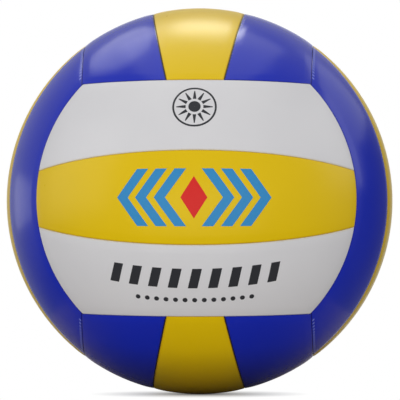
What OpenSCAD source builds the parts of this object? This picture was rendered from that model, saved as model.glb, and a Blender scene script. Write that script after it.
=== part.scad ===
// Volleyball: eighteen sewn panels on foam pads, over a rubber bladder with a needle valve.
// Millimetres. The origin is the centre of the ball, +Z is up and the front face looks along -Y.
// A face is three strips side by side. Its own frame has +Z out of the ball, +X along the
// strips and +Y across them, and each of the six faces is that frame turned.

/* [Ball] */
// Diameter over the panels
ball_d = 210; // [190:1:230]

/* [Panels] */
// Thickness of the synthetic leather
skin_t = 0.8; // [0.7:0.1:1.1]
// Depth of the sewn margin that is turned in along each seam, from the outer surface
margin_depth = 3; // [2.6:0.1:3.2]
// Radius of a panel's edge, where it rolls into a seam
edge_roll_r = 1; // [0.9:0.1:1.4]
// Angle at the ball's centre from the middle of a face to the seam of its middle strip
strip_angle = 13.6; // [12:0.1:16]
// Tilt of the seam between two faces, about the line through its two corners
seam_tilt = 2.6; // [2:0.1:4]

/* [Foam pads] */
// Thickness of the foam behind each panel
foam_t = 3; // [2.5:0.1:4]
// Gap for the glue between the skin, the foam and the bladder
glue_gap = 0.25; // [0.2:0.05:0.4]

/* [Seam thread] */
// Diameter of the sewing thread
thread_d = 0.6; // [0.4:0.1:0.8]
// Gap between the thread and what lies beside it
thread_gap = 0.15; // [0.1:0.05:0.3]
// Distance from the end of a seam at which its thread stops
thread_stop = 4; // [3:0.5:6]

/* [Bladder] */
// Thickness of the rubber
bladder_t = 0.6; // [0.4:0.1:1]

/* [Valve] */
// Radius of the neck that shows in its panel
neck_r = 4; // [3.5:0.1:5]
// Depth of the top of the neck below the outer surface
neck_recess = 0.5; // [0.3:0.1:0.8]
// Radius of the stem that hangs inside the bladder
stem_r = 5; // [4.8:0.1:6]
// Length of the valve, from the top of its neck
valve_len = 22; // [18:1:26]
// Radius of the flange that is bonded under the bladder
flange_r = 16; // [12:1:20]
// Thickness of that flange
flange_t = 1.2; // [0.8:0.1:2]
// Radius of the rubber plug
plug_r = 2.6; // [2.2:0.1:3]
// Depth of the plug's mouth below the top of the neck
plug_recess = 0.6; // [0.4:0.1:1]
// Height of the collar that keeps the plug in, over its radius
collar_h = 0.8; // [0.5:0.1:1]
// Length of the collar
collar_len = 2.4; // [1.6:0.2:3]
// Distance from the plug's inner end to its collar
collar_lift = 4; // [3:0.5:6]
// Radius of the channel for the inflating needle
needle_r = 1; // [0.8:0.05:1.2]
// Gap between the plug and its housing, and round the neck
valve_gap = 0.15; // [0.1:0.05:0.25]

/* [Hidden] */
// A full circle's facets in OpenSCAD's own view
$fn = 120;
// Angle at which the roll of an edge crosses the faces it joins, so that none are tangent
roll_crossing = 8;
// Half the turn of a ring about a seam's axis, more than the longest seam needs
seam_sweep = 62;
// A whole turn
full_turn = 360;
// What a cut runs past a face
overrun = 1;

ball_r = ball_d / 2;
// Every cut that has to clear the whole ball reaches this far
reach = ball_d;
// Distance from the ball's centre to the flat in which the seam between two faces lies
face_offset = ball_r / sqrt(3) * (cos(seam_tilt) - sin(seam_tilt));

pad_r = ball_r - skin_t - glue_gap;
// The foam stops short of a seam, to leave room for the margin and its thread
pad_inset = skin_t + thread_d + 2 * thread_gap;
bladder_r = pad_r - foam_t - glue_gap;

// The thread runs on the back of the margin, halfway along the part that is free of the skin
thread_r = ball_r - (skin_t + margin_depth) / 2;
thread_inset = skin_t + thread_gap + thread_d / 2;

neck_top = ball_r - neck_recess;
valve_end = neck_top - valve_len;
plug_top = neck_top - plug_recess;
hole_r = neck_r + valve_gap;
flange_outer_r = bladder_r - bladder_t - glue_gap;

white = "#d4d5da";
yellow = "#dcbb24";
blue = "#3848a8";
foam = "#e8e4d8";
rubber = "#2b2b2d";
thread = "#e9e6dc";

// Each face: name, turn of its frame, names of the strips at +Y and -Y, colour of those two
FACES = [
    ["front", [90, 0, 0], "upper", "lower", white],
    ["back", [-90, 0, 0], "lower", "upper", white],
    ["top", [0, 0, 90], "left", "right", blue],
    ["bottom", [180, 0, 90], "right", "left", blue],
    ["left", [0, -90, 0], "rear", "fore", blue],
    ["right", [0, 90, 0], "rear", "fore", blue]
];
function strips(face) = [
    [face[2], 0, face[4]],
    ["middle", 0, yellow],
    [face[3], 180, face[4]]
];

// The four seams of a strip. Each is the direction in which it lies, the tilt of its flat's
// outward side above the face's plane, and the flat's distance from the ball's centre.
end_seams = [
    [0, seam_tilt - 90, -face_offset],
    [180, seam_tilt - 90, -face_offset]
];
middle_side_seams = [
    [90, -strip_angle, 0],
    [-90, -strip_angle, 0]
];
outer_side_seams = [
    [90, -seam_tilt, face_offset],
    [-90, strip_angle, 0]
];
function side_seams(strip) = strip[0] == "middle" ? middle_side_seams : outer_side_seams;

// Puts a seam's axis along +Z, with the seam itself towards -X
module at_seam(seam) {
    rotate([0, 90 - seam[1], seam[0]])
        children();
}

// All that lies past a flat
module past_flat(offset) {
    translate([-reach, -reach, offset])
        cube(2 * reach);
}

function polar(radius, angle) = [radius * cos(angle), radius * sin(angle)];

// The ring that rolls off the edge of a panel along a seam. Its section is a corner block
// with a round notch, set square to the surface of the ball at the seam.
module edge_ring(offset) {
    latitude = asin(offset / ball_r);
    bite = edge_roll_r * cos(roll_crossing);
    notch_latitude = latitude - asin(bite / (ball_r - bite));
    notch = polar(ball_r - bite, notch_latitude);
    across = polar(edge_roll_r + overrun, latitude + 90);
    outwards = polar(edge_roll_r + overrun, notch_latitude);
    rotate_extrude(angle = 2 * seam_sweep, start = 180 - seam_sweep)
        difference() {
            polygon([notch, notch + across, notch + across + outwards, notch + outwards]);
            translate(notch)
                circle(r = edge_roll_r);
        }
}

// A layer of the ball between two radii, cut back from the seams by an inset
module layer(seams, outer_r, inner_r, inset) {
    difference() {
        sphere(r = outer_r);
        sphere(r = inner_r);
        for (seam = seams)
            at_seam(seam)
                past_flat(seam[2] - inset);
    }
}

// A panel of synthetic leather, with its margins turned in along all four seams. Its ends
// are rolled before its sides, so that the rings never cross in one cut.
module panel(sides) {
    seams = concat(end_seams, sides);
    difference() {
        difference() {
            layer(seams, ball_r, ball_r - margin_depth, 0);
            layer(seams, ball_r - skin_t, ball_r - margin_depth - overrun, skin_t);
            for (seam = end_seams)
                at_seam(seam)
                    edge_ring(seam[2]);
        }
        for (seam = sides)
            at_seam(seam)
                edge_ring(seam[2]);
    }
}

// The foam glued behind a panel, between its margins
module pad(sides) {
    layer(concat(end_seams, sides), pad_r, pad_r - foam_t, pad_inset);
}

// A seam's own axes: its flat's outward side, and the two directions across that
function seam_z(seam) = [cos(seam[1]) * cos(seam[0]), cos(seam[1]) * sin(seam[0]), sin(seam[1])];
function seam_x(seam) = [sin(seam[1]) * cos(seam[0]), sin(seam[1]) * sin(seam[0]), -cos(seam[1])];
function seam_y(seam) = [-sin(seam[0]), cos(seam[0]), 0];

// The turns about a seam's axis, counted from its middle, between which a ring of that
// radius and height stops short of another seam. A seam that it never meets is no limit.
function turns_clear_of(other, seam, radius, height) =
    let (
        side = seam_z(other),
        across = [side * seam_x(seam), side * seam_y(seam)],
        fall = (side * seam_z(seam) * height - other[2] + thread_stop) / radius / norm(across),
        half = fall > -1 ? acos(min(1, fall)) : full_turn,
        middle = atan2(across[1], across[0])
    )
    [middle - half, middle + half];

// The run of thread on the back of one margin
module thread_run(seam, others) {
    height = seam[2] - thread_inset;
    radius = sqrt(pow(thread_r, 2) - pow(height, 2));
    turns = [for (other = others) turns_clear_of(other, seam, radius, height)];
    first = max([for (turn = turns) turn[0]]);
    last = min([for (turn = turns) turn[1]]);
    at_seam(seam)
        translate([0, 0, height])
            rotate_extrude(angle = last - first, start = 180 + first)
                translate([radius, 0])
                    circle(d = thread_d, $fn = 16);
}

// The thread behind one panel, a run to each of its seams
module panel_thread(sides) {
    seams = concat(end_seams, sides);
    for (i = [0 : len(seams) - 1])
        thread_run(seams[i], [for (j = [0 : len(seams) - 1]) if (j != i) seams[j]]);
}

module seam_thread() {
    color(thread)
        for (face = FACES, strip = strips(face))
            rotate(face[1])
                rotate(strip[1])
                    panel_thread(side_seams(strip));
}

// The valve stands in the middle of the back face, along +Y
module on_valve_axis() {
    rotate([-90, 0, 0])
        children();
}

// The hole that lets the valve's neck through, from inside the bladder outwards
module neck_hole() {
    on_valve_axis()
        translate([0, 0, valve_end])
            cylinder(r = hole_r, h = reach);
}

module bladder() {
    color(rubber)
        difference() {
            sphere(r = bladder_r);
            sphere(r = bladder_r - bladder_t);
            neck_hole();
        }
}

// The plug and, with a gap all round, the chamber that holds it
module plug_body(gap, top) {
    collar_z = valve_end + collar_lift;
    translate([0, 0, valve_end - gap])
        cylinder(r = plug_r + gap, h = top - valve_end + gap);
    translate([0, 0, collar_z - gap])
        cylinder(r = plug_r + collar_h + gap, h = collar_len + 2 * gap);
}

module valve_housing() {
    color(rubber)
        on_valve_axis()
            difference() {
                union() {
                    translate([0, 0, valve_end])
                        cylinder(r = neck_r, h = valve_len);
                    translate([0, 0, valve_end])
                        cylinder(r = stem_r, h = flange_outer_r - flange_t / 2 - valve_end);
                    intersection() {
                        difference() {
                            sphere(r = flange_outer_r);
                            sphere(r = flange_outer_r - flange_t);
                        }
                        cylinder(r = flange_r, h = reach);
                    }
                }
                plug_body(valve_gap, neck_top + overrun);
            }
}

module valve_plug() {
    color(rubber)
        on_valve_axis()
            difference() {
                plug_body(0, plug_top);
                translate([0, 0, valve_end - overrun])
                    cylinder(r = needle_r, h = valve_len + 2 * overrun);
            }
}

// What a face's strip carries is drawn in the face's frame, with the valve's hole through
// the middle of the back
module in_place(face, strip) {
    difference() {
        rotate(face[1])
            rotate(strip[1])
                children();
        if (face[0] == "back" && strip[0] == "middle")
            neck_hole();
    }
}

for (face = FACES, strip = strips(face)) {
    color(strip[2])
            in_place(face, strip)
                panel(side_seams(strip));
    color(foam)
            in_place(face, strip)
                pad(side_seams(strip));
}
seam_thread();
bladder();
valve_housing();
valve_plug();
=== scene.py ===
"""A size 5 volleyball: eighteen sewn panels on foam pads, over a rubber bladder with a needle valve."""
import math

import bpy
import numpy as np
from mathutils import Euler, Matrix, Vector


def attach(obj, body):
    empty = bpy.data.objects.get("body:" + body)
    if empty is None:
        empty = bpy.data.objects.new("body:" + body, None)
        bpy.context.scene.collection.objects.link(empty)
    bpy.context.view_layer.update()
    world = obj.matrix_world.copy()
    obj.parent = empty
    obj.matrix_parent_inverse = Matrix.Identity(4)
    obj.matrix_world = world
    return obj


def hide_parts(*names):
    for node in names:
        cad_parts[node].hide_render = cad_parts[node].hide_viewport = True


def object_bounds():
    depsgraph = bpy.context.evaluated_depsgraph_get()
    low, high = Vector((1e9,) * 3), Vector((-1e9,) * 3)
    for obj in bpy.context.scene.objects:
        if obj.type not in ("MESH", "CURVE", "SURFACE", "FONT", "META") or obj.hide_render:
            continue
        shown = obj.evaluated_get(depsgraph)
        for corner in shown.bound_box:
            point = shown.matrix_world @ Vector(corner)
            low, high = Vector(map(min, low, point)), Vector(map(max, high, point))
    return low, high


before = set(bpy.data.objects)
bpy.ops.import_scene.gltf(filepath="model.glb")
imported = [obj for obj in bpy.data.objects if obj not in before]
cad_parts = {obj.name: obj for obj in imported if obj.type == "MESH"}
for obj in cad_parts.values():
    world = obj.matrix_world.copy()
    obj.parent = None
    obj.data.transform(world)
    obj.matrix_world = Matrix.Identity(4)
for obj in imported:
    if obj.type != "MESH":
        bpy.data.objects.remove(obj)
cad_bounds = [list(corner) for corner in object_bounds()]
bpy.ops.object.select_all(action="DESELECT")

# Bladder
# A hollow ball of black butyl rubber, dip moulded and cured, which holds the air. It stays as
# the frame has it, and gets the dull, faintly mottled skin of rubber dusted with talc.

MM = 0.001
talc_patch = 9 * MM
rubber_grain = 0.4 * MM
rubber_relief = 0.05 * MM


def linear(hex_colour):
    """An sRGB colour such as #d4d5da as the linear colour that a shader reads."""
    shares = [int(hex_colour[i:i + 2], 16) / 255 for i in (1, 3, 5)]
    return [s / 12.92 if s <= 0.04045 else ((s + 0.055) / 1.055) ** 2.4 for s in shares] + [1]


def add_node(material, kind, inputs, **settings):
    """Adds a shader node. An input is a value, or the output of another node that is linked to it."""
    node = material.node_tree.nodes.new("ShaderNode" + kind)
    for name, value in settings.items():
        setattr(node, name, value)
    for name, value in inputs.items():
        if isinstance(value, bpy.types.NodeSocket):
            material.node_tree.links.new(value, node.inputs[name])
        else:
            node.inputs[name].default_value = value
    return node


def new_material(name):
    """An empty material, and the place on the object that its patterns read."""
    material = bpy.data.materials.new(name)
    material.use_nodes = True
    material.node_tree.nodes.clear()
    return material, add_node(material, "TexCoord", {}).outputs["Object"]


def finish_material(material, inputs):
    """The material's one shader, with those inputs."""
    shader = add_node(material, "BsdfPrincipled", inputs)
    add_node(material, "OutputMaterial", {"Surface": shader.outputs["BSDF"]})
    return material


def moulded_rubber(name, dark, dusty, roughness):
    """Cured black rubber: nearly no colour, a soft wide highlight, and pale talc left in patches."""
    material, place = new_material(name)
    patches = add_node(material, "TexNoise", {"Vector": place, "Scale": 1 / talc_patch, "Detail": 4})
    colour = add_node(material, "ValToRGB", {"Fac": patches.outputs["Fac"]})
    for stop, share, tint in zip(colour.color_ramp.elements, (0.45, 0.8), (dark, dusty)):
        stop.position, stop.color = share, linear(tint)
    skin = add_node(material, "TexNoise", {"Vector": place, "Scale": 1 / rubber_grain, "Detail": 3})
    bump = add_node(material, "Bump", {
        "Height": skin.outputs["Fac"], "Strength": 0.3, "Distance": rubber_relief,
    })
    return finish_material(material, {
        "Base Color": colour.outputs["Color"],
        "Roughness": roughness,
        "IOR": 1.52,
        "Normal": bump.outputs["Normal"],
    })


def dress(node_name, material):
    """Gives a node of the frame that keeps its shape its material."""
    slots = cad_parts[node_name].data.materials
    slots.clear()
    slots.append(material)


dress("bladder", moulded_rubber("butyl_rubber_talc_dusted", "#1c1c1e", "#3a3a3c", 0.72))

# Valve
# A housing of softer black rubber is bonded under the bladder, and its neck comes up through the
# back panel. The plug in it is pressed in dry, and its slit closes round the inflating needle.

valve_rubber = moulded_rubber("natural_rubber_moulded", "#19191b", "#262628", 0.48)
dress("valve_housing", valve_rubber)
dress("valve_plug", valve_rubber)

# Sewing thread
# Bonded polyester, twisted from three plies, run along the back of every turned-in margin. The
# twist gives a fine slanted rib, and the bonding resin a slight shine.

thread_colour = "#e9e6dc"
twist_pitch = 0.5 * MM
twist_relief = 0.05 * MM

material, place = new_material("polyester_thread_bonded")
# A wave texture turns through 20 radians to each unit of its scale
twist = add_node(material, "TexWave", {
    "Vector": place, "Scale": math.tau / (20 * twist_pitch), "Distortion": 2,
})
twist_bump = add_node(material, "Bump", {
    "Height": twist.outputs["Fac"], "Strength": 0.6, "Distance": twist_relief,
})
dress("seam_thread", finish_material(material, {
    "Base Color": linear(thread_colour),
    "Roughness": 0.5,
    "IOR": 1.57,
    "Normal": twist_bump.outputs["Normal"],
}))

# Foam pads
# Each panel is backed by a sheet of soft closed-cell foam, die cut a little smaller than the
# panel so that it fits between the sewn margins, and glued to the skin by its whole face.

ball_radius = cad_bounds[1][2]
strip_lean = math.radians(13.6)
seam_lean = math.radians(2.6)
face_height = ball_radius / math.sqrt(3) * (math.cos(seam_lean) - math.sin(seam_lean))

# A strip lies between two flats across it, each a lean from the face's axis and a height from
# the ball's centre. Its ends are cut by the flats of the neighbouring faces.
MIDDLE = (-strip_lean, 0), (strip_lean, 0)
OUTER = (strip_lean, 0), (seam_lean, face_height)

leather_thickness = 0.8 * MM
foam_thickness = 3 * MM
foam_inset = 2 * MM
glue_gap = 0.25 * MM
edge_roll = 0.45 * MM
swell_depth = 0.26 * MM
swell_reach = 5 * MM
# How sharply the leather bends down at the edge of the foam
swell_bend = 1.5
neck_hole_radius = 4.15 * MM

foam_steps = [0, 0.15 * MM, 0.5 * MM, 1.2 * MM, 2.4 * MM]
foam_cell = 3.2 * MM
foam_pore = 0.6 * MM
foam_relief = 0.12 * MM
foam_colour = "#e8e4d8"
foam_smooth_angle = math.radians(40)


def on_strip(strip, along, across, radius, inset=0.0):
    """Points at shares from -1 to 1 along and across a strip, that far from the ball's centre."""
    (low_lean, low_height), (high_lean, high_height) = strip
    share = (across + 1) / 2
    lean = low_lean + (high_lean - low_lean) * share
    low = math.asin((low_height + inset) / ball_radius)
    high = math.asin((high_height - inset) / ball_radius)
    height = ball_radius * np.sin(low + (high - low) * share)
    ring = np.sqrt(radius ** 2 - height ** 2)
    swing, rise = ring * math.sin(seam_lean), ring * math.cos(seam_lean) * np.cos(lean)
    end_height = face_height + inset + math.cos(seam_lean) * height * np.sin(lean)
    turn = along * (np.arccos(end_height / np.hypot(swing, rise)) - np.arctan2(swing, rise))
    return np.stack([
        ring * np.sin(turn),
        height * np.cos(lean) + ring * np.cos(turn) * np.sin(lean),
        ring * np.cos(turn) * np.cos(lean) - height * np.sin(lean),
    ], axis=-1)


def seam_distances(strip, points):
    """How far points of a strip lie from its two ends and its two sides, over the ball's surface."""
    (low_lean, low_height), (high_lean, high_height) = strip
    flats = [
        ((math.sin(seam_lean), 0, -math.cos(seam_lean)), -face_height),
        ((-math.sin(seam_lean), 0, -math.cos(seam_lean)), -face_height),
        ((0, -math.cos(low_lean), math.sin(low_lean)), -low_height),
        ((0, math.cos(high_lean), -math.sin(high_lean)), high_height),
    ]
    outwards = points / np.linalg.norm(points, axis=-1, keepdims=True)
    return [
        np.maximum(0, ball_radius * (math.asin(height / ball_radius) - np.arcsin(outwards @ np.array(way))))
        for way, height in flats
    ]


def sunk(distances):
    """How deep the leather lies under the round of the ball: it bends down where the foam ends, and
    rolls over into the seam."""
    level = 1.0
    for distance in distances:
        level = level * (1 - np.clip(1 - distance / swell_reach, 0, 1) ** swell_bend)
    nearest = np.minimum.reduce(distances)
    inside = np.clip(edge_roll - nearest, 0, edge_roll)
    roll = edge_roll - np.sqrt(edge_roll ** 2 - inside ** 2)
    return swell_depth * (1 - level) + roll


def graded(length, steps, cell):
    """Shares from -1 to 1 along a length: small steps in from both ends, and even cells between."""
    count = max(1, round((length - 2 * steps[-1]) / cell))
    middle = np.linspace(steps[-1] - length / 2, length / 2 - steps[-1], count + 1)[1:-1]
    ends = np.array(steps) - length / 2
    return np.concatenate([ends, middle, -ends[::-1]]) / (length / 2)


def strip_length(strip, across):
    """Length of a strip from end to end, at a share across it."""
    along = np.linspace(-1, 1, 200)
    row = on_strip(strip, along, np.full(len(along), across), ball_radius)
    return np.linalg.norm(np.diff(row, axis=0), axis=1).sum()


def strip_width(strip):
    """Width of a strip in its middle."""
    low, high = [lean + math.asin(height / ball_radius) for lean, height in strip]
    return ball_radius * (high - low)


def strip_grid(name, strip, steps, cell):
    """A grid with its shares along and across the strip, graded towards the seams."""
    along = graded(strip_length(strip, 0), steps, cell)
    across = graded(strip_width(strip), steps, cell)
    columns, rows = len(along) - 1, len(across) - 1
    bpy.ops.mesh.primitive_grid_add(x_subdivisions=columns, y_subdivisions=rows, size=2)
    piece = bpy.context.object
    piece.name = name
    flat = points_of(piece.data)
    place = np.rint((flat[:, :2] + 1) / 2 * (columns, rows)).astype(int)
    return piece, along[place[:, 0]], across[place[:, 1]]


def points_of(mesh):
    """The points of a mesh as an array."""
    points = np.empty(len(mesh.vertices) * 3)
    mesh.vertices.foreach_get("co", points)
    return points.reshape(-1, 3)


def move_points(mesh, points):
    """Moves all the points of a mesh."""
    mesh.vertices.foreach_set("co", points.ravel())
    mesh.update()


# Each face: its turn, its strips from +Y to -Y in its own frame, and the colour of the outer two
FACES = [
    ("front", (90, 0, 0), ("upper", "middle", "lower"), "white"),
    ("back", (-90, 0, 0), ("lower", "middle", "upper"), "white"),
    ("top", (0, 0, 90), ("left", "middle", "right"), "blue"),
    ("bottom", (180, 0, 90), ("right", "middle", "left"), "blue"),
    ("left", (0, -90, 0), ("rear", "middle", "fore"), "blue"),
    ("right", (0, 90, 0), ("rear", "middle", "fore"), "blue"),
]


def strip_turns():
    """Each strip: its face and name, if it is the middle one, the turn to its place, its colour."""
    for face, turn, names, outer_colour in FACES:
        turned = Euler([math.radians(angle) for angle in turn]).to_matrix().to_4x4()
        for name, half_turn in zip(names, (0, 0, 180)):
            colour = "yellow" if name == "middle" else outer_colour
            turn_round = Matrix.Rotation(math.radians(half_turn), 4, "Z")
            yield face, name, name == "middle", turned @ turn_round, colour


def place_copy(piece, name, turn):
    """A copy of a modelled strip with its own mesh, turned to its place on the ball."""
    copy = piece.copy()
    copy.data = piece.data.copy()
    copy.name = copy.data.name = name
    copy.data.transform(turn)
    bpy.context.collection.objects.link(copy)
    return copy


def remove(piece):
    """Deletes a pattern piece once its copies are made."""
    bpy.data.objects.remove(piece, do_unlink=True)


def drill_for_valve(piece):
    """Cuts the round hole for the valve's neck through the middle of the back."""
    bpy.ops.mesh.primitive_cylinder_add(
        vertices=64, radius=neck_hole_radius, depth=ball_radius, location=(0, ball_radius, 0),
        rotation=(math.radians(90), 0, 0))
    drill = bpy.context.object
    bpy.ops.object.select_all(action="DESELECT")
    bpy.context.view_layer.objects.active = piece
    piece.select_set(True)
    cut = piece.modifiers.new("valve hole", "BOOLEAN")
    cut.operation = "DIFFERENCE"
    cut.object = drill
    bpy.ops.object.modifier_apply(modifier=cut.name)
    remove(drill)


# The cut cells give a matt face with fine pits, drawn coarser than real ones so that they show
material, place = new_material("eva_foam_closed_cell")
cells = add_node(material, "TexVoronoi", {"Vector": place, "Scale": 1 / foam_pore})
cell_bump = add_node(material, "Bump", {
    "Height": cells.outputs["Distance"], "Strength": 0.5, "Distance": foam_relief,
})
foam_material = finish_material(material, {
    "Base Color": linear(foam_colour),
    "Roughness": 0.85,
    "IOR": 1.5,
    "Normal": cell_bump.outputs["Normal"],
})


def foam_pad(name, strip):
    """A pad in the strip's own frame, its skin side shaped like the back of the leather."""
    pad, along, across = strip_grid(name, strip, foam_steps, foam_cell)
    outer = on_strip(strip, along, across, ball_radius, foam_inset)
    swell = np.minimum(sunk(seam_distances(strip, outer)), swell_depth)
    glued_radius = ball_radius - leather_thickness - glue_gap
    outer = on_strip(strip, along, across, glued_radius - swell, foam_inset)
    inner = on_strip(strip, along, across, glued_radius - foam_thickness, foam_inset)
    move_points(pad.data, outer)
    bpy.ops.object.mode_set(mode="EDIT")
    bpy.ops.mesh.select_all(action="SELECT")
    bpy.ops.mesh.extrude_region_move()
    bpy.ops.object.mode_set(mode="OBJECT")
    points = points_of(pad.data)
    raised = np.array([vertex.select for vertex in pad.data.vertices])
    # The extruded copy becomes the outer face, and the grid's own points the inner one
    points[~raised] = inner[:(~raised).sum()]
    move_points(pad.data, points)
    bpy.ops.object.mode_set(mode="EDIT")
    bpy.ops.mesh.select_all(action="SELECT")
    bpy.ops.mesh.normals_make_consistent(inside=False)
    bpy.ops.object.mode_set(mode="OBJECT")
    bpy.ops.object.shade_smooth_by_angle(angle=foam_smooth_angle)
    pad.data.materials.append(foam_material)
    return pad


foam_patterns = foam_pad("foam_outer", OUTER), foam_pad("foam_middle", MIDDLE)
for face, strip_name, is_middle, turn, colour in strip_turns():
    pad = place_copy(foam_patterns[is_middle], f"foam_{face}_{strip_name}", turn)
    if (face, strip_name) == ("back", "middle"):
        drill_for_valve(pad)
    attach(pad, "root")
    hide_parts(f"pad_{face}_{strip_name}")
for pattern in foam_patterns:
    remove(pattern)

# Leather panels
# Polyvinyl chloride film on a knitted backing, calendered and embossed with a very fine grain.
# Its margins are turned in and sewn from the inside, so it swells between the seams.

# Rows of points round the rolled edge, and then where the leather bends down at the foam's edge
leather_steps = [edge_roll * (1 - math.cos(math.radians(angle))) for angle in (0, 18, 36, 52, 66, 78, 90)]
leather_steps += [step * MM for step in (0.8, 1.3, 1.9, 2.6, 3.3, 3.9, 4.4, 4.8, 5.1, 6)]
leather_cell = 1.8 * MM
leather_smooth_angle = math.radians(50)
skived_thickness = 0.35 * MM
skived_reach = 3 * MM
margin_depth = 3 * MM
sewn_gap = 0.04 * MM

stitch_pitch = 2.2 * MM
# How far from its seam a pucker, a stitch and the painted shade of the seam groove lie
pucker_start, pucker_end = 0.9 * MM, 2.6 * MM
stitch_middle, stitch_reach = 1.1 * MM, 0.7 * MM
seam_shade_start, seam_shade_end = 0.2 * MM, 0.75 * MM
inner_seam_shade_start, inner_seam_shade_end = 0.3 * MM, 1.1 * MM
# The painted stitch dots show this far forwards and backwards from the middle of the ball
stitched_depth = 57 * MM
pucker_relief = 0.13 * MM
tight_stretch = 30 * MM
# A real grain is a few tenths of a millimetre wide, too fine to show, so it is drawn coarser
grain_size = 0.7 * MM
grain_relief = 0.04 * MM
slack_size = 24 * MM
slack_relief = 0.25 * MM
rubbed_size = 3 * MM
roughness_spread = 0.05
# The sockets of a Mix node that mixes colours
first_colour, second_colour, mixed = 6, 7, 2


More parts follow.
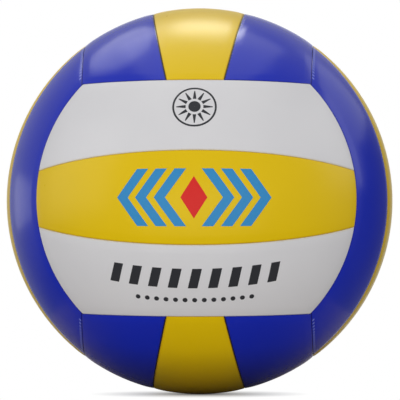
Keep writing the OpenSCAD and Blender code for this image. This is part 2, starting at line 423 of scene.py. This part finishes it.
def pvc_leather(
        name, colour, shade, seam_shade_colour, inner_seam_shade_colour, stitch_shading_colour, sheen_colour, roughness,
        pucker_strength):
    """Embossed PVC: an even colour with a soft, fairly clear highlight, broken a little by its grain,
    small puckers and stitches beside some seams, with a painted highlight on the blue's stitches, and
    painted shade where it turns into a seam."""
    material, place = new_material(name)
    seams = add_node(material, "Attribute", {}, attribute_name="seam_distance")
    seams = add_node(material, "SeparateXYZ", {"Vector": seams.outputs["Vector"]})
    runs = add_node(material, "Attribute", {}, attribute_name="strip_place")
    runs = add_node(material, "SeparateXYZ", {"Vector": runs.outputs["Vector"]})
    # The side on which an outer strip is sewn to the middle strip of its face
    inward = add_node(material, "Math", {0: runs.outputs["Y"], 1: 0.0}, operation="LESS_THAN")
    beside = add_node(material, "Math", {
        0: seams.outputs["Y"], 1: seams.outputs["X"],
    }, operation="LESS_THAN")
    inner = add_node(material, "Math", {0: inward.outputs[0], 1: beside.outputs[0]}, operation="MULTIPLY")
    # The stitches draw the leather down on that side, in some stretches of the seam more than in others
    turns = add_node(material, "Math", {
        0: runs.outputs["X"], 1: math.tau / stitch_pitch,
    }, operation="MULTIPLY")
    wave = add_node(material, "Math", {0: turns.outputs[0]}, operation="COSINE")
    near = add_node(material, "MapRange", {
        "Value": seams.outputs["Y"], "From Min": pucker_start, "From Max": pucker_end,
        "To Min": 1.0, "To Max": 0.0,
    }, interpolation_type="SMOOTHSTEP")
    tension = add_node(material, "TexNoise", {"Vector": place, "Scale": 1 / tight_stretch, "Detail": 1})
    tension = add_node(material, "MapRange", {
        "Value": tension.outputs["Fac"], "From Min": 0.42, "From Max": 0.68,
    })
    pucker = wave.outputs[0]
    for share in (near.outputs[0], inner.outputs[0], tension.outputs[0]):
        pucker = add_node(material, "Math", {0: pucker, 1: share}, operation="MULTIPLY").outputs[0]
    pucker_bump = add_node(material, "Bump", {
        "Height": pucker, "Strength": pucker_strength, "Distance": pucker_relief,
    })
    grain = add_node(material, "TexVoronoi", {"Vector": place, "Scale": 1 / grain_size}, feature="SMOOTH_F1")
    grain_bump = add_node(material, "Bump", {
        "Height": grain.outputs["Distance"], "Strength": 0.12, "Distance": grain_relief,
        "Normal": pucker_bump.outputs["Normal"],
    })
    slack = add_node(material, "TexNoise", {"Vector": place, "Scale": 1 / slack_size, "Detail": 2})
    slack_bump = add_node(material, "Bump", {
        "Height": slack.outputs["Fac"], "Strength": 0.5, "Distance": slack_relief,
        "Normal": grain_bump.outputs["Normal"],
    })
    tone = add_node(material, "Mix", {
        "Factor": slack.outputs["Fac"], first_colour: linear(colour), second_colour: linear(shade),
    }, data_type="RGBA")
    # Where the side faces meet the top and the bottom, the stitches show at the strips' ends as painted
    # dots:
    # on the blue a painted highlight, where they catch the light from above, and on the white and yellow a
    # little darker
    turns = add_node(material, "Math", {
        0: runs.outputs["Y"], 1: math.tau / stitch_pitch,
    }, operation="MULTIPLY")
    wave = add_node(material, "Math", {0: turns.outputs[0]}, operation="COSINE")
    stitch_shading = add_node(material, "MapRange", {"Value": wave.outputs[0], "From Min": -0.2, "From Max": 0.8})
    along_end = add_node(material, "Math", {
        0: seams.outputs["X"], 1: stitch_middle, 2: stitch_reach,
    }, operation="COMPARE")
    depth = add_node(material, "SeparateXYZ", {"Vector": place})
    depth = add_node(material, "Math", {0: depth.outputs["Y"]}, operation="ABSOLUTE")
    on_side = add_node(material, "Math", {0: depth.outputs[0], 1: stitched_depth}, operation="LESS_THAN")
    stitch_shading = stitch_shading.outputs[0]
    for share in (along_end.outputs[0], on_side.outputs[0]):
        stitch_shading = add_node(material, "Math", {0: stitch_shading, 1: share}, operation="MULTIPLY").outputs[0]
    tone = add_node(material, "Mix", {
        "Factor": stitch_shading, first_colour: tone.outputs[mixed], second_colour: linear(stitch_shading_colour),
    }, data_type="RGBA")
    # Painted shade: the colour darkens in the last millimetre before a seam, where the groove lies in shade,
    # the most towards the middle strip
    nearest = add_node(material, "Math", {
        0: seams.outputs["X"], 1: seams.outputs["Y"],
    }, operation="MINIMUM")
    seam_shade = add_node(material, "MapRange", {
        "Value": nearest.outputs[0], "From Min": seam_shade_start, "From Max": seam_shade_end,
        "To Min": 1.0, "To Max": 0.0,
    }, interpolation_type="SMOOTHSTEP")
    tone = add_node(material, "Mix", {
        "Factor": seam_shade.outputs[0], first_colour: tone.outputs[mixed], second_colour: linear(seam_shade_colour),
    }, data_type="RGBA")
    # More painted shade on the side that is sewn to the middle strip
    seam_shade = add_node(material, "MapRange", {
        "Value": seams.outputs["Y"], "From Min": inner_seam_shade_start, "From Max": inner_seam_shade_end,
        "To Min": 1.0, "To Max": 0.0,
    }, interpolation_type="SMOOTHSTEP")
    seam_shade = add_node(material, "Math", {0: seam_shade.outputs[0], 1: inner.outputs[0]}, operation="MULTIPLY")
    tone = add_node(material, "Mix", {
        "Factor": seam_shade.outputs[0], first_colour: tone.outputs[mixed],
        second_colour: linear(inner_seam_shade_colour),
    }, data_type="RGBA")
    rubbed = add_node(material, "TexNoise", {"Vector": place, "Scale": 1 / rubbed_size, "Detail": 4})
    rubbed = add_node(material, "MapRange", {
        "Value": rubbed.outputs["Fac"],
        "To Min": roughness - roughness_spread, "To Max": roughness + roughness_spread,
    })
    return finish_material(material, {
        "Base Color": tone.outputs[mixed],
        "Roughness": rubbed.outputs[0],
        "IOR": 1.53,
        "Specular Tint": linear(sheen_colour),
        "Normal": slack_bump.outputs["Normal"],
    })


# The edge and inner edge colours of each leather are painted shade in its seam groove
leather = {
    "white": pvc_leather(
        "pvc_leather_white", colour="#dfdede", shade="#dad9da", seam_shade_colour="#d6d5d4",
        inner_seam_shade_colour="#dad6c8", stitch_shading_colour="#d0cfd0", sheen_colour="#ffffff",
        roughness=0.33, pucker_strength=0.2),
    "yellow": pvc_leather(
        "pvc_leather_yellow", colour="#e9c400", shade="#e5c000", seam_shade_colour="#d6ac02",
        inner_seam_shade_colour="#d6ac02", stitch_shading_colour="#cda600", sheen_colour="#ffffc8",
        roughness=0.3, pucker_strength=0.2),
    # The blue's stitch colour is a painted highlight, lighter than the blue where the stitches catch the
    # light from above
    "blue": pvc_leather(
        "pvc_leather_blue", colour="#0425b9", shade="#0422b0", seam_shade_colour="#08199a",
        inner_seam_shade_colour="#0c1030", stitch_shading_colour="#7b88dc", sheen_colour="#ffffff",
        roughness=0.2, pucker_strength=0.9),
}


def leather_panel(name, strip):
    """A panel in the strip's own frame, with its margins turned in along all four sides."""
    panel, along, across = strip_grid(name, strip, leather_steps, leather_cell)
    mesh = panel.data
    surface = on_strip(strip, along, across, ball_radius, sewn_gap)
    distances = seam_distances(strip, surface)
    move_points(mesh, on_strip(strip, along, across, ball_radius - sunk(distances), sewn_gap))
    # The material reads where a point lies along and across, and how far it is from an end and a side
    attributes = {
        "strip_place": [along * strip_length(strip, 0) / 2, across * strip_width(strip) / 2, 0 * along],
        "seam_distance": [np.minimum(*distances[:2]), np.minimum(*distances[2:]), 0 * along],
    }
    for attribute, values in attributes.items():
        layer = mesh.attributes.new(attribute, "FLOAT_VECTOR", "POINT")
        layer.data.foreach_set("vector", np.stack(values, axis=-1).ravel())
    # The edge of the grid is extruded into the margin, down the flats of the seams
    rim = (np.abs(along) == 1) | (np.abs(across) == 1)
    bpy.ops.object.mode_set(mode="EDIT")
    bpy.ops.mesh.select_mode(type="EDGE")
    bpy.ops.mesh.select_all(action="DESELECT")
    bpy.ops.mesh.select_non_manifold(extend=False, use_boundary=True)
    bpy.ops.mesh.extrude_edges_move()
    bpy.ops.object.mode_set(mode="OBJECT")
    points = points_of(mesh)
    lowered = points[len(along):]
    old = on_strip(strip, along[rim], across[rim], ball_radius - sunk(distances)[rim], sewn_gap)
    new = on_strip(strip, along[rim], across[rim], ball_radius - margin_depth, sewn_gap)
    match = np.argmin(np.linalg.norm(lowered[:, None] - old[None], axis=-1), axis=1)
    points[len(along):] = new[match]
    move_points(mesh, points)
    nearest = np.minimum.reduce(seam_distances(strip, points))
    thickness = np.interp(nearest, [0, skived_reach], [skived_thickness, leather_thickness])
    skiving = panel.vertex_groups.new(name="skiving")
    for index, share in enumerate(thickness / leather_thickness):
        skiving.add([index], share, "REPLACE")
    wall = panel.modifiers.new("thickness", "SOLIDIFY")
    wall.thickness = leather_thickness
    wall.vertex_group = skiving.name
    wall.offset = -1
    wall.use_even_offset = True
    bpy.ops.object.modifier_apply(modifier=wall.name)
    bpy.ops.object.shade_smooth_by_angle(angle=leather_smooth_angle)
    return panel


leather_patterns = leather_panel("leather_outer", OUTER), leather_panel("leather_middle", MIDDLE)
for face, strip_name, is_middle, turn, colour in strip_turns():
    panel = place_copy(leather_patterns[is_middle], f"leather_{face}_{strip_name}", turn)
    panel.data.materials.append(leather[colour])
    if (face, strip_name) == ("back", "middle"):
        drill_for_valve(panel)
    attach(panel, "root")
    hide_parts(f"panel_{face}_{strip_name}")
for pattern in leather_patterns:
    remove(pattern)

# Printed marks
# Screen-printed inks on the three front panels: charcoal, sky blue and red. Each mark is a film
# that lies on the leather and follows its round.

ink_lift = 0.04 * MM
ink_thickness = 0.05 * MM
weld_distance = 0.01 * MM
ink_smooth_angle = math.radians(40)
# From here on, places and sizes on a mark are in mm, because it is drawn flat and then wrapped
ink_cell = 1.5
ring_points = 48
# A disc is open by this radius, too little to see
disc_opening = 0.05


def screen_ink(name, colour):
    """Vinyl ink: flat and even, a little duller than the leather round it, whose slackness it follows."""
    material, place = new_material(name)
    slack = add_node(material, "TexNoise", {"Vector": place, "Scale": 1 / slack_size, "Detail": 2})
    bump = add_node(material, "Bump", {
        "Height": slack.outputs["Fac"], "Strength": 0.5, "Distance": slack_relief,
    })
    return finish_material(material, {
        "Base Color": linear(colour),
        "Roughness": 0.4,
        "IOR": 1.5,
        "Normal": bump.outputs["Normal"],
    })


def printed(columns, rows, latitude, outline):
    """A patch of ink. The outline gives places from the mark's middle, which lies on the front of the
    ball at that latitude, for shares from 0 to 1 along and across the patch."""
    bpy.ops.mesh.primitive_grid_add(x_subdivisions=columns, y_subdivisions=rows, size=1)
    patch = bpy.context.object
    shares = points_of(patch.data)[:, :2] + 0.5
    x, z = outline(shares[:, 0], shares[:, 1])
    # Never quite zero, because it divides
    arc = np.maximum(np.hypot(x, z), 1e-6)
    away = arc * MM / ball_radius
    right, up, out = np.sin(away) * x / arc, np.sin(away) * z / arc, np.cos(away)
    lean = math.radians(latitude)
    move_points(patch.data, (ball_radius + ink_lift) * np.stack([
        right,
        up * math.sin(lean) - out * math.cos(lean),
        up * math.cos(lean) + out * math.sin(lean),
    ], axis=-1))
    bpy.ops.object.mode_set(mode="EDIT")
    bpy.ops.mesh.select_all(action="SELECT")
    bpy.ops.mesh.remove_doubles(threshold=weld_distance)
    bpy.ops.object.mode_set(mode="OBJECT")
    film = patch.modifiers.new("film", "SOLIDIFY")
    film.thickness = ink_thickness
    film.offset = -1
    bpy.ops.object.modifier_apply(modifier=film.name)
    bpy.ops.object.mode_set(mode="EDIT")
    bpy.ops.mesh.select_all(action="SELECT")
    bpy.ops.mesh.normals_make_consistent(inside=False)
    bpy.ops.object.mode_set(mode="OBJECT")
    return patch


def printed_quad(latitude, corners):
    """A four-sided patch of ink with those corners."""
    corners = np.array(corners, dtype=float)
    columns = math.ceil(np.linalg.norm(corners[1] - corners[0]) / ink_cell)
    rows = math.ceil(np.linalg.norm(corners[2] - corners[1]) / ink_cell)

    def outline(u, v):
        low = corners[0] + u[:, None] * (corners[1] - corners[0])
        high = corners[3] + u[:, None] * (corners[2] - corners[3])
        return (low + v[:, None] * (high - low)).T

    return printed(columns, rows, latitude, outline)


def printed_ring(latitude, middle, inner, outer):
    """A round patch of ink between two radii."""
    def outline(u, v):
        radius = inner + v * (outer - inner)
        return middle[0] + radius * np.sin(math.tau * u), middle[1] + radius * np.cos(math.tau * u)

    return printed(ring_points, max(1, math.ceil((outer - inner) / ink_cell)), latitude, outline)


def finish_mark(patches, name, ink):
    """Joins the patches of one colour into a mark of the ball's body."""
    bpy.ops.object.select_all(action="DESELECT")
    for patch in patches:
        patch.select_set(True)
    bpy.context.view_layer.objects.active = patches[0]
    bpy.ops.object.join()
    mark = patches[0]
    mark.name = mark.data.name = name
    mark.data.materials.clear()
    mark.data.materials.append(ink)
    bpy.ops.object.shade_smooth_by_angle(angle=ink_smooth_angle)
    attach(mark, "root")


charcoal_ink = screen_ink("vinyl_ink_charcoal", "#2d2e32")
sky_blue_ink = screen_ink("vinyl_ink_sky_blue", "#2f8cc6")
red_ink = screen_ink("vinyl_ink_red", "#dc1c12")

# A small sun on the upper panel: a disc, rays that taper outwards, and a ring
sun_latitude = 26.8
sun_disc_radius = 3.2
sun_ring_inner, sun_ring_outer = 10.6, 11.6
ray_count = 12
ray_start, ray_end = 4.6, 9.5
ray_half_width, ray_tip_half_width = 0.95, 0.25
patches = [
    printed_ring(sun_latitude, (0, 0), disc_opening, sun_disc_radius),
    printed_ring(sun_latitude, (0, 0), sun_ring_inner, sun_ring_outer),
]
for ray in range(ray_count):
    way = math.tau * ray / ray_count
    out = np.array([math.sin(way), math.cos(way)])
    side = np.array([math.cos(way), -math.sin(way)])
    patches.append(printed_quad(sun_latitude, [
        ray_start * out - ray_half_width * side,
        ray_start * out + ray_half_width * side,
        ray_end * out + ray_tip_half_width * side,
        ray_end * out - ray_tip_half_width * side,
    ]))
finish_mark(patches, "print_upper_sun", charcoal_ink)

# Three chevrons point outwards on each side of the middle panel, round a red diamond
middle_latitude = 0
chevron_tips = (21, 31, 41)
chevron_thickness = 6
chevron_sweep = 11
chevron_half_height = 15
diamond_half_width, diamond_half_height = 7, 11
patches = []
for side in (-1, 1):
    for tip in chevron_tips:
        for half in (-1, 1):
            end = half * chevron_half_height
            patches.append(printed_quad(middle_latitude, [
                (side * (tip - chevron_thickness), 0),
                (side * tip, 0),
                (side * (tip - chevron_sweep), end),
                (side * (tip - chevron_sweep - chevron_thickness), end),
            ]))
finish_mark(patches, "print_middle_chevrons", sky_blue_ink)
diamond = printed_quad(middle_latitude, [
    (0, -diamond_half_height), (diamond_half_width, 0), (0, diamond_half_height), (-diamond_half_width, 0),
])
finish_mark([diamond], "print_middle_diamond", red_ink)

# A row of slanted bars on the lower panel, over a row of dots
lower_latitude = -25.5
bar_count, bar_pitch, first_bar = 9, 10.5, -45.5
bar_width, bar_lean = 5, 2.5
bar_foot, bar_head = -2, 9
dot_count, dot_pitch, first_dot = 13, 5, -30
dot_radius = 1.3
dot_height = -9
patches = []
for bar in range(bar_count):
    left = first_bar + bar_pitch * bar
    patches.append(printed_quad(lower_latitude, [
        (left, bar_foot),
        (left + bar_width, bar_foot),
        (left + bar_width + bar_lean, bar_head),
        (left + bar_lean, bar_head),
    ]))
for dot in range(dot_count):
    middle = (first_dot + dot_pitch * dot, dot_height)
    patches.append(printed_ring(lower_latitude, middle, disc_opening, dot_radius))
finish_mark(patches, "print_lower_bars", charcoal_ink)

# Floor, light and camera
# A pale vinyl floor in a white room, a wide soft box overhead, smaller ones round the ball that
# show as the sheens on its film, polarised ones in front and behind, and a long lens.

floor_size = 0.28
shadow_reach = 0.06

bpy.ops.mesh.primitive_plane_add(size=floor_size, location=(0, 0, cad_bounds[0][2]))
floor = bpy.context.object
floor.name = "floor"
# Matt and nearly white. It turns the white of the room a little way from the ball, so that only
# the shadow where the ball touches it shows, and it throws a warm grey back up.
material, place = new_material("floor_pale_vinyl")
rays = add_node(material, "LightPath", {})
reach = add_node(material, "VectorMath", {0: place}, operation="LENGTH")
fade = add_node(material, "MapRange", {
    "Value": reach.outputs["Value"], "From Min": 0.0, "From Max": shadow_reach,
})
seen_white = add_node(material, "Math", {
    0: rays.outputs["Is Camera Ray"], 1: fade.outputs[0],
}, operation="MULTIPLY")
bounce = add_node(material, "Mix", {
    "Factor": rays.outputs["Is Camera Ray"],
    first_colour: linear("#9c9388"), second_colour: linear("#f4f4f4"),
}, data_type="RGBA")
matt = add_node(material, "BsdfDiffuse", {"Color": bounce.outputs[mixed]})
white = add_node(material, "Emission", {"Color": (1, 1, 1, 1), "Strength": 1.0})
blend = add_node(material, "MixShader", {
    0: seen_white.outputs[0], 1: matt.outputs[0], 2: white.outputs[0],
})
add_node(material, "OutputMaterial", {"Surface": blend.outputs[0]})
floor.data.materials.append(material)

world = bpy.data.worlds.new("studio")
bpy.context.scene.world = world
world.use_nodes = True
world.node_tree.nodes.clear()
rays = add_node(world, "LightPath", {})
directions = add_node(world, "TexCoord", {})
way = add_node(world, "SeparateXYZ", {"Vector": directions.outputs["Generated"]})
# The room is white to the camera, and in reflections straight behind the ball
behind = add_node(world, "MapRange", {"Value": way.outputs["Y"], "From Min": 0.95, "From Max": 0.99})
glancing = add_node(world, "Math", {
    0: rays.outputs["Is Glossy Ray"], 1: behind.outputs[0],
}, operation="MULTIPLY")
seen = add_node(world, "Math", {
    0: rays.outputs["Is Camera Ray"], 1: rays.outputs["Is Transmission Ray"],
}, operation="MAXIMUM")
seen = add_node(world, "Math", {0: seen.outputs[0], 1: glancing.outputs[0]}, operation="MAXIMUM")
# Otherwise it is grey, darker low down and towards its far right corner
height = add_node(world, "MapRange", {"Value": way.outputs["Z"], "From Min": -0.4, "From Max": 0.0})
corner = add_node(world, "VectorMath", {
    0: directions.outputs["Generated"], 1: (0.72, 0.69, 0),
}, operation="DOT_PRODUCT")
corner = add_node(world, "MapRange", {"Value": corner.outputs["Value"], "From Min": 0.8, "From Max": 0.97})
room = linear("#6c6c70")
for share, colour in (
        (height, linear("#acacaf")), (corner, linear("#5a5a5d")), (seen, (1, 1, 1, 1))):
    room = add_node(world, "Mix", {
        "Factor": share.outputs[0], first_colour: room, second_colour: colour,
    }, data_type="RGBA").outputs[mixed]
sky = add_node(world, "Background", {"Color": room, "Strength": 1.0})
add_node(world, "OutputWorld", {"Surface": sky.outputs[0]})


def soft_box(name, place, width, height, power, target=(0, 0, 0), shape="RECTANGLE"):
    """A soft box of that size and shape, turned to its target."""
    light = bpy.data.lights.new(name, "AREA")
    light.shape = shape
    light.size, light.size_y = width, height
    light.energy = power
    box = bpy.data.objects.new(name, light)
    box.location = place
    box.rotation_euler = (Vector(target) - Vector(place)).to_track_quat("-Z", "Y").to_euler()
    bpy.context.collection.objects.link(box)
    return box


soft_box("overhead_box", (0, 0.2, 1.7), width=1.7, height=1.9, power=6.5)
front_box = soft_box("front_box", (0.05, -2.2, -0.24), width=3.2, height=1.1, power=31)
back_box = soft_box("back_box", (0, 2.2, 0), width=3.2, height=2.4, power=18)
# These two are polarised, so that they light the ball but leave no glare on the film
for box in (front_box, back_box):
    box.visible_glossy = False
soft_box("left_box", (-1.8, -0.5, 0.5), width=1.6, height=1.4, power=6)
soft_box(
    "rear_left_box", (-0.53, 0.66, 1.0), width=0.62, height=0.98, power=1.95,
    target=(-0.53, 0.66, 0), shape="ELLIPSE")
soft_box("rear_low_left_box", (-1.42, 1.02, 0.02), width=0.8, height=0.36, power=0.58)
soft_box("right_box", (1.75, 0.2, 0.75), width=1.2, height=1.2, power=3.4)
soft_box("rear_right_box", (1.0, 0.9, 0.75), width=0.8, height=0.6, power=0.7)
soft_box("hanging_box", (0.01, 0.57, 1.0), width=0.36, height=0.34, power=1.75)

camera_distance = 18.3 * ball_radius
camera_side, camera_rise = 0.0283, -0.0195
sensor_width = 36
frame_pixels = 400
photo_centre = (199.6, 201.2)
photo_radius = 192.9

camera = bpy.data.objects.new("camera", bpy.data.cameras.new("camera"))
bpy.context.collection.objects.link(camera)
bpy.context.scene.camera = camera
camera.location = Vector((camera_side, -1, camera_rise)).normalized() * camera_distance
camera.rotation_euler = (-camera.location).to_track_quat("-Z", "Y").to_euler()
# The outline of a ball seen from that distance, and how wide it is in the photograph
outline_slope = ball_radius / math.sqrt(camera_distance ** 2 - ball_radius ** 2)
half_view = outline_slope * (frame_pixels / 2) / photo_radius
camera.data.sensor_width = sensor_width
camera.data.lens = sensor_width / 2 / half_view
camera.data.shift_x = (frame_pixels / 2 - photo_centre[0]) / frame_pixels
camera.data.shift_y = (photo_centre[1] - frame_pixels / 2) / frame_pixels
camera.data.clip_end = 20
bpy.context.scene.view_settings.view_transform = "Standard"
